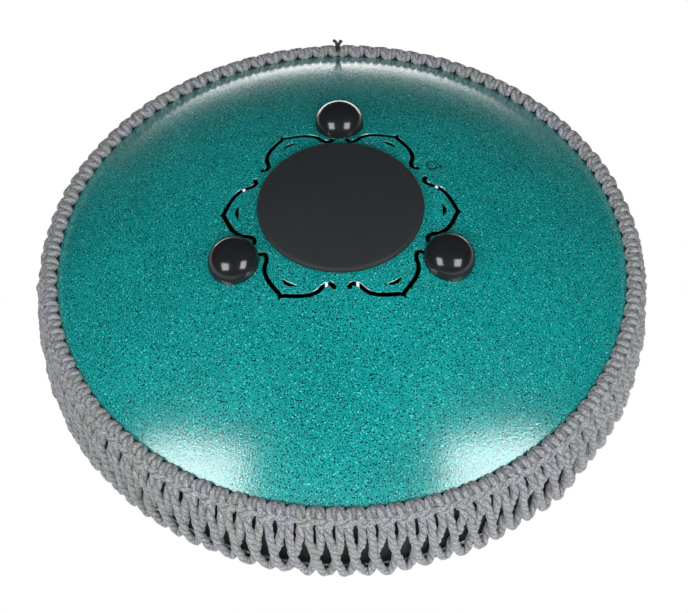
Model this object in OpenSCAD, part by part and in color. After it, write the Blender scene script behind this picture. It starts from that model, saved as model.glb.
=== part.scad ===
// Steel tongue drum, about 14 inch, standing on its three rubber feet with the playing face up.
// Millimetres, +Z up, origin on the drum's axis at the feet. The base, where the photograph
// looks, faces -Z.

/* [Steel body] */
// Diameter of the steel body at its seam
shell_d = 342; // [330:1:360]
// Height of the steel body, crown to crown
shell_h = 157; // [150:1:172]
// Height of each shell's straight wall, from the seam to the shoulder
wall_h = 19.4; // [17:0.2:22]
// Outer radius of the shoulder between crown and wall
shoulder_r = 16; // [12:0.5:20]
// Thickness of the sheet steel
steel_t = 2; // [1.2:0.1:2.6]
// Depth of the chamfers that the seam weld fills
weld_depth = 1; // [0.6:0.1:1.1]
// How far the weld bead stands out of the wall
weld_crown = 0.3; // [0.1:0.05:0.35]

/* [Tongues] */
// Width of the cut round each tongue
tongue_slot_w = 1.8; // [1:0.1:3]
// Diameter of the round end of each cut
relief_d = 3.6; // [3:0.1:5]
// Number of tongues in the outer ring
outer_tongues = 9; // [7:1:9]
// Radius at which the outer tongues have their tips
outer_tip_r = 74; // [72:1:80]
// How far the outer tongues' roots stay from the shoulder
tongue_margin = 11; // [8:0.5:20]
// Width of the longest outer tongue
outer_tongue_w = 40; // [34:1:42]
// Number of tongues in the inner ring
inner_tongues = 6; // [5:1:6]
// Radius at which the inner tongues have their tips
inner_tip_r = 23; // [22:1:26]
// Length of the longest inner tongue
inner_tongue_l = 41; // [34:1:43]
// Width of the longest inner tongue
inner_tongue_w = 19; // [15:1:20]

/* [Base cuts] */
// Diameter of the resonance hole
hole_d = 80; // [70:1:84]
// Width of the lotus lines
lotus_slot_w = 2; // [1.2:0.1:2.4]
// Radius of the lotus petals' tips
petal_tip_r = 67; // [64:0.5:70]
// Radius of the petals' foot, where their lines curl
petal_foot_r = 47.8; // [46:0.2:52]
// Half width of a petal at its foot
petal_half_w = 18.6; // [16:0.2:20]
// Length of the small crescent in each petal
crescent_l = 9; // [6:0.5:12]
// Greatest width of that crescent
crescent_w = 1.7; // [1:0.1:2.4]

/* [Resonance plug] */
// Diameter of the plug's disc
plug_d = 93; // [88:0.5:97]
// Thickness of the plug's disc
plug_t = 4; // [2:0.1:4.5]
// Thickness of the wall of the collar that fills the hole
plug_wall = 3; // [2:0.1:5]
// Depth of the collar below the disc
plug_neck_l = 10; // [7:0.5:14]

/* [Feet] */
// Diameter of the circle on which the feet stand
foot_circle_d = 135; // [130:1:140]
// Diameter of a foot
foot_d = 28.6; // [24:0.2:30]
// Height of the straight skirt round a foot
foot_skirt = 1.2; // [1:0.1:4]
// Radius of the round shoulder between skirt and top of a foot
foot_edge_r = 11.6; // [6:0.1:12]
// Diameter of the stem that goes through the shell
stem_d = 8; // [6:0.2:10]
// Diameter of the bead behind the shell
bead_d = 10.6; // [8:0.2:12]
// Length of the bead and its point
bead_l = 6; // [4:0.5:8]
// Depth of the flat on which a foot stands
foot_flat = 0.5; // [0.3:0.1:0.8]

/* [Cord cover] */
// Thickness of the rubber band behind the cords
band_t = 0.8; // [0.5:0.1:1.2]
// How far the band reaches from the seam over the base's shoulder
band_edge_h = 31; // [29:0.5:32]
// How far the cover reaches from the seam over the playing shell's wall
cover_edge_h = 15; // [12:0.5:16]
// Number of lark's head knots
knots = 103; // [96:1:105]
// Length of row left open at the back, where the cover's ends are tied
tie_gap = 3.2; // [2.8:0.1:5]
// Diameter of the cord in the strands
cord_d = 4.2; // [3.6:0.1:4.2]
// Diameter of the two thin cords, one inside the knots and one behind the strands' ends
holding_d = 1.4; // [1:0.1:2]
// Outer diameter of a wrap round that cord
wrap_d = 9.2; // [8:0.1:9.4]
// Width of a wrap
wrap_w = 5; // [4.2:0.1:5]
// Angle on the shoulder at which the wraps lie
wrap_angle = 40; // [38:0.5:44]
// Diameter of the bar across each knot
bar_d = 3.8; // [3:0.1:4]
// Angle on the shoulder at which the bars lie
bar_angle = 22; // [18:0.5:22]
// Diameter of the cord that ties the cover's ends
tie_d = 2.2; // [1.6:0.1:2.6]

/* [Hidden] */
$fn = 96;
cord_fn = 24;

// Clearances: between pieces that seat, between the plug and the steel, and between cords
seat_gap = 0.1;
plug_gap = 0.3;
cord_gap = 0.15;
stem_gap = 0.2;
// What every cut runs past the surface it cuts
overrun = 1;

// Shares chosen by hand: the lengths of the tongues from the longest to the shortest
outer_length_shares = [1, 0.8, 0.96, 0.84, 0.92, 0.88, 0.9, 0.86, 0.94];
inner_length_shares = [1, 0.86, 0.96, 0.9, 0.93, 0.83];
// How far down a foot's bead its widest part starts and how tall that is, and how blunt its point is
bead_share_top = 0.2;
point_share = 0.6;
// How much narrower a tongue gets with each part of length that it loses
width_follow_share = 0.5;

// The crown's sphere and the shoulder's circle, measured from the seam
wall_r = shell_d / 2;
corner_r = wall_r - shoulder_r;
corner_h = wall_h;
crown_rise = shell_h / 2 - wall_h;
dome_r = (pow(crown_rise, 2) + pow(corner_r, 2) - pow(shoulder_r, 2))
         / (2 * (crown_rise - shoulder_r));
dome_z = shell_h / 2 - dome_r;
meet_share = dome_r / (dome_r - shoulder_r);
outer_tongue_l = corner_r - tongue_margin - outer_tip_r;

// The feet set the height of the seam above what the drum stands on
foot_r = foot_d / 2;
foot_tilt = asin(foot_circle_d / 2 / dome_r);
foot_top_r = foot_r - foot_edge_r;
foot_drop = (dome_r + foot_skirt) * cos(foot_tilt) + foot_top_r * sin(foot_tilt)
            + foot_edge_r - foot_flat;
seam_z = foot_drop + dome_z;
base_centre_z = seam_z - dome_z;
foot_angles = [90, 210, 330];

// The plug
plug_r = plug_d / 2;
neck_r = hole_d / 2 - plug_gap;

// The cord cover
cord_r = cord_d / 2;
wrap_r = wrap_w / 2;
wrap_reach = wrap_d / 2;
knot_angle = 360 * (1 - tie_gap / (2 * PI * wall_r)) / knots;
backing_t = 2 * seat_gap + weld_crown + band_t;
wrap_path = shoulder_r + backing_t + cord_gap + wrap_reach;
wrap_row_r = corner_r + wrap_path * cos(wrap_angle);
wrap_row_h = corner_h + wrap_path * sin(wrap_angle);
bar_path = shoulder_r + backing_t + cord_gap + bar_d / 2;
bar_row_r = corner_r + bar_path * cos(bar_angle);
bar_row_h = corner_h + bar_path * sin(bar_angle);
edge_cord_r = wall_r + backing_t + cord_gap + holding_d / 2;
edge_cord_h = cover_edge_h - cord_r;
strand_row_r = edge_cord_r + holding_d / 2 + cord_gap + cord_r;
strand_top_r = wall_r + backing_t + cord_gap + cord_r;
strand_top_h = bar_row_h - bar_d / 2 - cord_gap - cord_r;
half_knot = PI * strand_row_r * knot_angle / 360;
strand_top_y = (cord_d + cord_gap) / 2;
strand_end_y = half_knot - strand_top_y;

// A point at share t of the curve on four control points
function bezier(p, t) =
    pow(1 - t, 3) * p[0] + 3 * t * pow(1 - t, 2) * p[1]
    + 3 * t * t * (1 - t) * p[2] + pow(t, 3) * p[3];
function curve(p, steps) = [for (i = [0 : steps]) bezier(p, i / steps)];
function unit2(v) = v / norm(v);
function square_to(v) = [-v[1], v[0]];

// The outline of a line of width w along the points of a path
function along(path, i) = unit2(path[min(i + 1, len(path) - 1)] - path[max(i - 1, 0)]);
function edge(path, half_w) =
    [for (i = [0 : len(path) - 1]) path[i] + half_w * square_to(along(path, i))];
function reversed(list) = [for (i = [len(list) - 1 : -1 : 0]) list[i]];
function line_outline(path, w) = concat(edge(path, w / 2), reversed(edge(path, -w / 2)));

// Half of a shell's section above the seam, drawn inside its outer face by inset
module half_section(inset) {
    intersection() {
        translate([0, dome_z]) circle(r = dome_r - inset);
        polygon([[0, 0], [corner_r * -dome_z / (corner_h - dome_z), 0],
                 [corner_r * meet_share * meet_share,
                  dome_z + (corner_h - dome_z) * meet_share * meet_share],
                 [0, shell_h]]);
    }
    intersection() {
        translate([corner_r, corner_h]) circle(r = shoulder_r - inset);
        square([shell_d, shell_h]);
    }
    square([wall_r - inset, corner_h]);
}

// A pressed half shell, seam down on z = 0, crown up
module half_shell() {
    rotate_extrude() {
        difference() {
            half_section(0);
            half_section(steel_t);
            polygon([[wall_r - weld_depth, -weld_depth], [wall_r + weld_depth, -weld_depth],
                     [wall_r + weld_depth, 2 * weld_depth], [wall_r - weld_depth, 0]]);
        }
    }
}

// The cut round one tongue: a U with its tip towards the axis and a round hole at each end
module tongue_cut(tip_r, length, width) {
    outer_w = width + 2 * tongue_slot_w;
    leg_l = length - width / 2;
    translate([tip_r + width / 2, 0]) {
        difference() {
            union() {
                circle(d = outer_w);
                translate([0, -outer_w / 2]) square([leg_l, outer_w]);
            }
            circle(d = width);
            translate([0, -width / 2]) square([leg_l + overrun, width]);
        }
        for (side = [-1, 1]) {
            translate([leg_l, side * (width + tongue_slot_w) / 2]) circle(d = relief_d);
        }
    }
}

module tongue_ring(count, tip_r, length, width, shares, turn) {
    for (i = [0 : count - 1]) {
        share = shares[i % len(shares)];
        rotate(turn + i * 360 / count) {
            tongue_cut(tip_r + length * (1 - share), length * share,
                       width * (1 - width_follow_share * (1 - share)));
        }
    }
}

module playing_shell() {
    color("teal") translate([0, 0, seam_z]) {
        difference() {
            half_shell();
            linear_extrude(shell_h) {
                tongue_ring(outer_tongues, outer_tip_r, outer_tongue_l, outer_tongue_w,
                            outer_length_shares, -90);
                tongue_ring(inner_tongues, inner_tip_r, inner_tongue_l, inner_tongue_w,
                            inner_length_shares, 90);
            }
        }
    }
}

// Half of a petal's line, from its tip on the +X axis to the curl at its foot
module petal_line() {
    depth = petal_tip_r - petal_foot_r;
    shoulder = [petal_tip_r - 0.5 * depth, 0.77 * petal_half_w];
    foot = [petal_foot_r + 0.05 * depth, petal_half_w];
    path = concat(
        curve([[petal_tip_r, 0], [petal_tip_r - 0.15 * depth, 0.2 * petal_half_w],
               [petal_tip_r - 0.38 * depth, 0.62 * petal_half_w], shoulder], 5),
        curve([shoulder + [-0.08 * depth, 0.1 * petal_half_w],
               [petal_tip_r - 0.75 * depth, petal_half_w],
               [petal_tip_r - 0.88 * depth, 0.98 * petal_half_w], foot], 6),
        curve([foot + [-0.09 * depth, 0.06 * petal_half_w],
               [petal_foot_r - 0.07 * depth, 1.12 * petal_half_w],
               [petal_foot_r - 0.05 * depth, 1.2 * petal_half_w],
               [petal_foot_r + 0.06 * depth, 1.24 * petal_half_w]], 4));
    polygon(line_outline(path, lotus_slot_w));
}

// One lotus petal: two mirrored lines, a small point at the tip, and a crescent
module petal() {
    for (side = [0, 1]) {
        mirror([0, side]) petal_line();
    }
    polygon([[petal_tip_r + lotus_slot_w, 0], [petal_tip_r - lotus_slot_w, lotus_slot_w],
             [petal_tip_r - lotus_slot_w, -lotus_slot_w]]);
    crescent_x = petal_tip_r - 0.42 * (petal_tip_r - petal_foot_r);
    bow_r = crescent_l;
    intersection() {
        translate([crescent_x - bow_r, 0]) circle(r = bow_r);
        difference() {
            translate([crescent_x - bow_r, -crescent_l / 2]) square([crescent_l + bow_r, crescent_l]);
            translate([crescent_x - crescent_w - 1.3 * bow_r, 0]) circle(r = 1.3 * bow_r);
        }
    }
}

// Places its children on the base's outer face, at a radius from the axis, +Z outwards
module on_base(angle) {
    rotate([0, 0, angle]) translate([0, 0, base_centre_z]) rotate([0, 180 - foot_tilt, 0])
        translate([0, 0, dome_r]) children();
}

module bottom_shell() {
    color("teal") difference() {
        translate([0, 0, seam_z]) mirror([0, 0, 1]) half_shell();
        cylinder(d = hole_d, h = seam_z);
        linear_extrude(seam_z) {
            for (i = [0 : 5]) {
                rotate(i * 60) petal();
            }
        }
        for (angle = foot_angles) {
            on_base(angle) translate([0, 0, -steel_t - overrun])
                cylinder(d = stem_d + 2 * stem_gap, h = steel_t + 2 * overrun);
        }
    }
}

// The weld bead fills the chamfers of both shells
module seam_weld() {
    color("dimgray") translate([0, 0, seam_z]) rotate_extrude() {
        polygon([[wall_r - weld_depth, 0], [wall_r, -weld_depth],
                 [wall_r + weld_crown, -weld_depth / 2], [wall_r + weld_crown, weld_depth / 2],
                 [wall_r, weld_depth]]);
    }
}

// The rubber band that backs the whole cord cover
module rim_band() {
    inner = -seat_gap - weld_crown;
    color([0.11, 0.13, 0.14]) on_cover() rotate_extrude() {
        intersection() {
            difference() {
                half_section(inner - band_t);
                half_section(inner);
            }
            square([shell_d, band_edge_h]);
        }
        translate([wall_r - inner, -cover_edge_h]) square([band_t, cover_edge_h + overrun]);
    }
}

// The cover is drawn with its knots above the seam, and turned over to the base's side
module on_cover() {
    translate([0, 0, seam_z]) mirror([0, 0, 1]) children();
}

// A thin cord right round the drum
module ring_cord(ring_r, height) {
    color("dimgray") on_cover() translate([0, 0, height]) rotate_extrude() {
        translate([ring_r, 0]) circle(d = holding_d);
    }
}

// Turns its children to each knot's place, starting beside the tie at the back
module each_knot() {
    for (i = [0 : knots - 1]) {
        rotate([0, 0, 90 + (360 - knots * knot_angle) / 2 + (i + 0.5) * knot_angle]) children();
    }
}

// One turn of cord round the holding cord, as a plump ring with its axis along Y
module wrap() {
    rotate([90, 0, 0]) rotate_extrude($fn = cord_fn) {
        difference() {
            translate([wrap_reach - wrap_r, 0]) circle(r = wrap_r, $fn = cord_fn);
            translate([-wrap_d, -wrap_w]) square([wrap_d + holding_d / 2 + cord_gap, 2 * wrap_w]);
        }
    }
}

// A straight piece of cord between two points, with round ends
module cord_between(a, b, r) {
    run = b - a;
    length = norm(run);
    translate(a) rotate([0, acos(run[2] / length), atan2(run[1], run[0])])
    rotate_extrude($fn = cord_fn) {
        square([r, length]);
        intersection() {
            union() {
                circle(r = r, $fn = cord_fn);
                translate([0, length]) circle(r = r, $fn = cord_fn);
            }
            translate([0, -r]) square([r, length + 2 * r]);
        }
    }
}

// The two wraps of each lark's head knot, side by side
module knot_wraps() {
    cotton() each_knot() {
        for (side = [-1, 1]) {
            rotate([0, 0, side * knot_angle / 4])
                translate([wrap_row_r, 0, wrap_row_h]) wrap();
        }
    }
}

// The bar of each knot, which crosses the two strands that leave it
module knot_bars() {
    wrap_y = PI * wrap_row_r * knot_angle / 720;
    bar_y = wrap_y + wrap_r - bar_d / 2;
    cotton() each_knot()
        cord_between([bar_row_r, -bar_y, bar_row_h], [bar_row_r, bar_y, bar_row_h], bar_d / 2);
}

// Under each knot one strand leans to each side, as far as the neighbour's strand
module strands(side) {
    cotton() each_knot()
        cord_between([strand_top_r, side * strand_top_y, strand_top_h],
                     [strand_row_r, side * strand_end_y, -edge_cord_h], cord_r);
}

module cotton() {
    color([0.59, 0.6, 0.63]) on_cover() children();
}

// The brown tie round the knots' cord, in the gap between the first and last knots
module cover_tie() {
    color([0.24, 0.16, 0.12]) on_cover()
        translate([0, wrap_row_r, wrap_row_h]) rotate([0, 90, 0]) rotate_extrude() {
            translate([holding_d / 2 + cord_gap + tie_d / 2, 0]) circle(d = tie_d);
        }
}

// A disc that follows the base, with a round edge and a hollow collar in the hole
module plug_section() {
    mid_r = dome_r + plug_gap + plug_t / 2;
    edge_r = plug_r - plug_t / 2;
    edge_h = sqrt(pow(mid_r, 2) - pow(edge_r, 2));
    floor_h = sqrt(pow(dome_r + plug_gap + plug_t / 2, 2) - pow(neck_r, 2));
    intersection() {
        difference() {
            circle(r = mid_r + plug_t / 2);
            circle(r = mid_r - plug_t / 2);
        }
        polygon([[0, 0], [0, 2 * dome_r], [2 * edge_r, 2 * edge_h]]);
    }
    translate([edge_r, edge_h]) circle(d = plug_t);
    translate([neck_r - plug_wall, floor_h - plug_neck_l]) square([plug_wall, plug_neck_l]);
}

module resonance_plug() {
    color([0.13, 0.15, 0.16]) translate([0, 0, base_centre_z]) rotate([180, 0, 0])
        rotate_extrude() plug_section();
}

// A push-in foot in section: flat top, round shoulder, skirt, stem, and the bead behind the shell
module foot_section() {
    difference() {
        union() {
            intersection() {
                translate([foot_top_r, foot_skirt]) circle(r = foot_edge_r);
                translate([foot_top_r, foot_skirt]) square(foot_edge_r);
            }
            square([foot_r, foot_skirt]);
            square([foot_top_r, foot_skirt + foot_edge_r]);
        }
        translate([0, -dome_r]) circle(r = dome_r + seat_gap);
    }
    stem_r = stem_d / 2;
    bead_top = -steel_t - bead_share_top * bead_l;
    polygon([[0, -steel_t - bead_l], [stem_r * point_share, -steel_t - bead_l],
             [bead_d / 2, bead_top - bead_share_top * bead_l], [bead_d / 2, bead_top],
             [stem_r, -steel_t - seat_gap], [stem_r, foot_skirt], [0, foot_skirt]]);
}

module foot(angle) {
    color([0.09, 0.1, 0.11]) difference() {
        on_base(angle) rotate_extrude() foot_section();
        translate([-shell_d, -shell_d, -foot_d]) cube([2 * shell_d, 2 * shell_d, foot_d]);
    }
}

playing_shell();
bottom_shell();
seam_weld();
rim_band();
ring_cord(wrap_row_r, wrap_row_h);  // knot_cord
ring_cord(edge_cord_r, -edge_cord_h);  // edge_cord
knot_wraps();
knot_bars();
strands(-1);  // left_strands
strands(1);  // right_strands
cover_tie();
resonance_plug();
foot(foot_angles[0]);  // foot_back
foot(foot_angles[1]);  // foot_left
foot(foot_angles[2]);  // foot_right
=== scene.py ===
"""Steel tongue drum: looks and scene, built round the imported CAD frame.

The drum stands on its rubber feet with the playing face up (+Z), as in the CAD. The photograph
looks at its base, so the camera and its lamps are below the drum, and image-up is about -Z.
Sizes are millimetres and are turned to metres where meshes are made.
"""

from __future__ import annotations

import logging
import math
from dataclasses import dataclass, field
from enum import Enum
from typing import Any, Callable, Iterable, Sequence

import bmesh
import bpy
from bpy.types import Material, Node, NodeSocket, NodeTree, Object
from mathutils import Matrix, Vector, geometry

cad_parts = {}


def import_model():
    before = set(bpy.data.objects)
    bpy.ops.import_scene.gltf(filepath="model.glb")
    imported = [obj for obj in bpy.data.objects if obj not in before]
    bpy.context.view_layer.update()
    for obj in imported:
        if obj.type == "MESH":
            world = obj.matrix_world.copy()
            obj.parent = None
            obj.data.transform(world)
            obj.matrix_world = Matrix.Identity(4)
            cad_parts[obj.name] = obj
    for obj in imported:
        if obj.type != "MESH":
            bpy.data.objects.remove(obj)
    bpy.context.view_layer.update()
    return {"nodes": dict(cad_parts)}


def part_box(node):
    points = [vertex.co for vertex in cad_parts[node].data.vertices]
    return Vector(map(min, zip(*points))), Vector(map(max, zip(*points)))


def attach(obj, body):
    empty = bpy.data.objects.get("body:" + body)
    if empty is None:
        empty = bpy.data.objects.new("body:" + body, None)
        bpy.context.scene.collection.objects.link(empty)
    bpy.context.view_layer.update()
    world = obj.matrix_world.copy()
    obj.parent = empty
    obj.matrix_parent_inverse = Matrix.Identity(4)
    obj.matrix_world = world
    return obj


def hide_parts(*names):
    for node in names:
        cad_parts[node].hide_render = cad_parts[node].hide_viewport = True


LOG = logging.getLogger("tongue_drum")
MM = 0.001
TAU = 2 * math.pi
# Points closer than the first are merged, and faces thinner than the second go.
MERGE_M, THIN_M = 1e-6, 1e-7
SRGB_KNEE, SRGB_SLOPE, SRGB_LIFT, SRGB_POWER = 0.04045, 12.92, 0.055, 2.4
# Angles in degrees over which an edge stays sharp.
SHELL_SHARP, RUBBER_SHARP = 35.0, 50.0
CURVE_SAMPLES, ROUNDING = 12, 1e-9

Point = tuple[float, float]
Point3 = tuple[float, float, float]
Stops = Sequence[tuple[float, float]]
NO_STRETCH: Point3 = (1, 1, 1)


class Slot(Enum):
    """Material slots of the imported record."""

    COATED_STEEL = "coated_steel"
    BAND_RUBBER = "band_rubber"
    COTTON_CORD = "cotton_cord"
    BROWN_CORD = "brown_cord"
    MATTE_RUBBER = "matte_rubber"
    GLOSS_RUBBER = "gloss_rubber"


class Body(Enum):
    """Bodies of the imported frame."""

    DRUM = "drum"
    PLUG = "plug"


# ---- node helpers


def linear(colour: str) -> tuple[float, float, float, float]:
    """Turn an sRGB hex colour to linear.

    Args:
        colour: Six hex digits with a leading #.

    Returns:
        Linear red, green, blue and an alpha of 1.
    """
    parts = [int(colour[i : i + 2], 16) / 255 for i in (1, 3, 5)]
    lin = [c / SRGB_SLOPE if c <= SRGB_KNEE else ((c + SRGB_LIFT) / (1 + SRGB_LIFT)) ** SRGB_POWER
           for c in parts]
    return (lin[0], lin[1], lin[2], 1.0)


def add(tree: NodeTree, kind: str, settings: dict[str, Any] | None = None,
        inputs: dict[Any, Any] | None = None) -> Node:
    """Add one node with its settings and links.

    Args:
        tree: Node tree that gets the node.
        kind: Blender's identifier of the node type.
        settings: Attributes to set on the node.
        inputs: Values or output sockets for inputs, by name or index.

    Returns:
        The new node.
    """
    made = tree.nodes.new(kind)
    for name, value in (settings or {}).items():
        setattr(made, name, value)
    for key, value in (inputs or {}).items():
        if isinstance(value, NodeSocket):
            tree.links.new(value, made.inputs[key])
        else:
            made.inputs[key].default_value = value
    return made


def maths(tree: NodeTree, operation: str, *values: Any) -> NodeSocket:
    """Add a Math node and return its output."""
    return add(tree, "ShaderNodeMath", {"operation": operation},
               dict(enumerate(values))).outputs[0]


def new_material(name: str) -> tuple[Material, NodeTree]:
    """Make an empty node material."""
    material = bpy.data.materials.new(name)
    material.use_nodes = True
    material.node_tree.nodes.clear()
    return material, material.node_tree


def ramp(tree: NodeTree, factor: NodeSocket, stops: Stops) -> NodeSocket:
    """Shape a factor with a grey ramp.

    Args:
        tree: Node tree that gets the ramp.
        factor: Socket to shape.
        stops: Pairs of place and grey value, in rising order.

    Returns:
        The ramp's output socket.
    """
    node = add(tree, "ShaderNodeValToRGB", inputs={"Fac": factor})
    elements = node.color_ramp.elements
    while len(elements) < len(stops):
        elements.new(0.5)
    for element, (place, grey) in zip(elements, stops):
        element.position = place
        element.color = (grey, grey, grey, 1)
    return node.outputs["Color"]


def mixed(tree: NodeTree, factor: NodeSocket | float, first: Any,
          second: Any, blend: str = "MIX") -> NodeSocket:
    """Mix two colours and return the result's socket."""
    node = add(tree, "ShaderNodeMix", {"data_type": "RGBA", "blend_type": blend},
               {0: factor, 6: first, 7: second})
    return node.outputs[2]


def object_noise(tree: NodeTree, grain_mm: float, detail: float = 2.0,
                 stretch: Point3 = NO_STRETCH) -> NodeSocket:
    """Add noise on Object coordinates whose grain has a real size in millimetres."""
    where = add(tree, "ShaderNodeTexCoord").outputs["Object"]
    mapped = add(tree, "ShaderNodeMapping", inputs={"Vector": where, "Scale": stretch})
    noise = add(tree, "ShaderNodeTexNoise", inputs={
        "Vector": mapped.outputs[0], "Scale": 1 / (grain_mm * MM), "Detail": detail})
    return noise.outputs["Fac"]


def bump(tree: NodeTree, height: NodeSocket, depth_mm: float) -> NodeSocket:
    """Add a bump of a real depth and return its normal."""
    node = add(tree, "ShaderNodeBump", inputs={
        "Height": height, "Distance": depth_mm * MM, "Strength": 1.0})
    return node.outputs["Normal"]


# ---- mesh helpers


def linked(name: str, data: Any) -> Object:
    """Make an object of some data and link it to the scene."""
    made = bpy.data.objects.new(name, data)
    bpy.context.scene.collection.objects.link(made)
    return made


def mesh_object(name: str, verts: Iterable[Point3], faces: Iterable[Sequence[int]]) -> Object:
    """Make a mesh object from points in millimetres, with doubles merged and faces outwards."""
    mesh = bpy.data.meshes.new(name)
    mesh.from_pydata([Vector(v) * MM for v in verts], [], [list(f) for f in faces])
    work = bmesh.new()
    work.from_mesh(mesh)
    bmesh.ops.remove_doubles(work, verts=work.verts, dist=MERGE_M)
    bmesh.ops.dissolve_degenerate(work, edges=work.edges, dist=THIN_M)
    bmesh.ops.recalc_face_normals(work, faces=work.faces)
    work.to_mesh(mesh)
    work.free()
    return linked(name, mesh)


def smooth(obj: Object, angle: float) -> None:
    """Shade a mesh smooth, with edges sharper than an angle in degrees left sharp."""
    obj.data.shade_smooth()
    obj.data.set_sharp_from_angle(angle=math.radians(angle))


def baked(obj: Object, name: str) -> Object:
    """Turn an object with its modifiers into a plain mesh object of that name."""
    bpy.context.view_layer.update()
    graph = bpy.context.evaluated_depsgraph_get()
    mesh = bpy.data.meshes.new_from_object(obj.evaluated_get(graph), depsgraph=graph)
    bpy.data.objects.remove(obj)
    mesh.name = name
    return linked(name, mesh)


def hand_over(made: Object, body: Body, slot: Slot, *nodes: str) -> None:
    """Attach a piece to its body and hide the CAD nodes that it stands for."""
    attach(made, body.value)
    if nodes:
        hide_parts(*nodes)
    LOG.info("%s for %s: %d faces", made.name, ", ".join(nodes) or "looks alone",
             len(made.data.polygons))


def revolved(profile: Sequence[Point], segments: int,
             start: int = 0) -> tuple[list[Point3], list[list[int]]]:
    """Spin a half section about Z.

    Args:
        profile: Points of radius and height in order.
        segments: Steps round the axis.
        start: Number of the first point in the faces.

    Returns:
        The points and the faces.
    """
    verts = [(r * math.cos(a), r * math.sin(a), z)
             for a in (TAU * i / segments for i in range(segments)) for r, z in profile]
    n = len(profile)
    faces = [[start + i * n + j, start + (i + 1) % segments * n + j,
              start + (i + 1) % segments * n + j + 1, start + i * n + j + 1]
             for i in range(segments) for j in range(n - 1)]
    return verts, faces


def lathe(name: str, profile: Sequence[Point], segments: int) -> Object:
    """Spin a closed half section about Z to a mesh object."""
    return mesh_object(name, *revolved(profile, segments))


def moulded(made: Object, rubber: Material) -> Object:
    """Dress a rubber part whose shape is final, and shade it smooth."""
    made.data.materials.append(rubber)
    smooth(made, RUBBER_SHARP)
    return made


def arc(centre: Point, radius: float, start: float, end: float, steps: int) -> list[Point]:
    """Points on an arc between two angles in degrees."""
    angles = (math.radians(start + (end - start) * i / steps) for i in range(steps + 1))
    return [(centre[0] + radius * math.cos(a), centre[1] + radius * math.sin(a)) for a in angles]


def turned(points: Iterable[Point], degrees: float) -> list[Point]:
    """Turn flat points about the origin."""
    c, s = math.cos(math.radians(degrees)), math.sin(math.radians(degrees))
    return [(x * c - y * s, x * s + y * c) for x, y in points]


def catmull(points: Sequence[Point3], step: float) -> list[Point3]:
    """Sample a smooth line through points at about an even step."""
    dense: list[Vector] = []
    v = [Vector(p) for p in points]
    v = [v[0] * 2 - v[1]] + v + [v[-1] * 2 - v[-2]]
    for i in range(1, len(v) - 2):
        for k in range(CURVE_SAMPLES):
            t = k / CURVE_SAMPLES
            dense.append(0.5 * ((2 * v[i]) + (v[i + 1] - v[i - 1]) * t
                                + (2 * v[i - 1] - 5 * v[i] + 4 * v[i + 1] - v[i + 2]) * t * t
                                + (3 * v[i] - v[i - 1] - 3 * v[i + 1] + v[i + 2]) * t ** 3))
    dense.append(v[-2])
    total = sum((b - a).length for a, b in zip(dense, dense[1:]))
    count = max(2, round(total / step))
    out, walked, target = [tuple(dense[0])], 0.0, total / count
    for a, b in zip(dense, dense[1:]):
        run = (b - a).length
        while walked + run >= target - ROUNDING and len(out) < count:
            out.append(tuple(a.lerp(b, (target - walked) / run)))
            target += total / count
        walked += run
    out.append(tuple(dense[-1]))
    return out


# ---- sizes shared with the CAD


@dataclass(frozen=True)
class DrumSizes:
    """The CAD's named sizes that the looks follow, in millimetres. seam_z comes from the frame."""

    seam_z: float
    shell_d: float = 342.0
    shell_h: float = 157.0
    wall_h: float = 19.4
    shoulder_r: float = 16.0
    steel_t: float = 2.0
    hole_d: float = 80.0
    backing_t: float = 1.3
    foot_circle_d: float = 135.0
    foot_angles: tuple[float, ...] = (90.0, 210.0, 330.0)
    cover_edge_h: float = 15.0
    knots: int = 103
    tie_gap: float = 3.2

    @property
    def wall_r(self) -> float:
        """Radius of the wall."""
        return self.shell_d / 2

    @property
    def backing_r(self) -> float:
        """Radius of the backing on the wall."""
        return self.wall_r + self.backing_t

    @property
    def corner(self) -> Point:
        """Centre of the shoulder's circle, as radius and height over the seam."""
        return (self.wall_r - self.shoulder_r, self.wall_h)

    @property
    def dome_r(self) -> float:
        """Radius of a crown that meets the shoulder over a straight wall."""
        rise = self.shell_h / 2 - self.wall_h
        return ((rise ** 2 + self.corner[0] ** 2 - self.shoulder_r ** 2)
                / (2 * (rise - self.shoulder_r)))

    @property
    def dome_z(self) -> float:
        """Height of the crown's centre over the seam, negative."""
        return self.shell_h / 2 - self.dome_r

    @property
    def meet_r(self) -> float:
        """Radius at which crown and shoulder meet."""
        return self.corner[0] * self.dome_r / (self.dome_r - self.shoulder_r)

    @property
    def base_centre_z(self) -> float:
        """Height of the base crown's centre over the floor."""
        return self.seam_z - self.dome_z

    @property
    def knot_angle(self) -> float:
        """Angle from one knot to the next, in degrees."""
        return 360 * (1 - self.tie_gap / (math.pi * self.shell_d)) / self.knots

    def dome_height(self, radius: float) -> float:
        """Height of the crown over the seam at a radius."""
        return self.dome_z + math.sqrt(self.dome_r ** 2 - radius ** 2)

    def round_point(self, s: float, radius: float, height: float) -> Point3:
        """Place a point at a distance s round the backing, with s = 0 on +X."""
        turn = s / self.backing_r
        return (radius * math.cos(turn), radius * math.sin(turn), self.seam_z - height)

    def cover_point(self, s: float, p: float, h: float) -> Point3:
        """Place a point of the cord cover.

        Args:
            s: Distance round the drum from the unit's middle, at the wall.
            p: Distance up the section from the seam towards the base.
            h: Height of the point over the band.

        Returns:
            The point in the row frame, with the unit's middle on +X.
        """
        reach = self.shoulder_r + self.backing_t + h
        if p <= self.wall_h:
            return self.round_point(s, self.corner[0] + reach, p)
        angle = (p - self.wall_h) / (self.shoulder_r + self.backing_t)
        return self.round_point(s, self.corner[0] + reach * math.cos(angle),
                                self.wall_h + reach * math.sin(angle))


# ---- finishes


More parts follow.
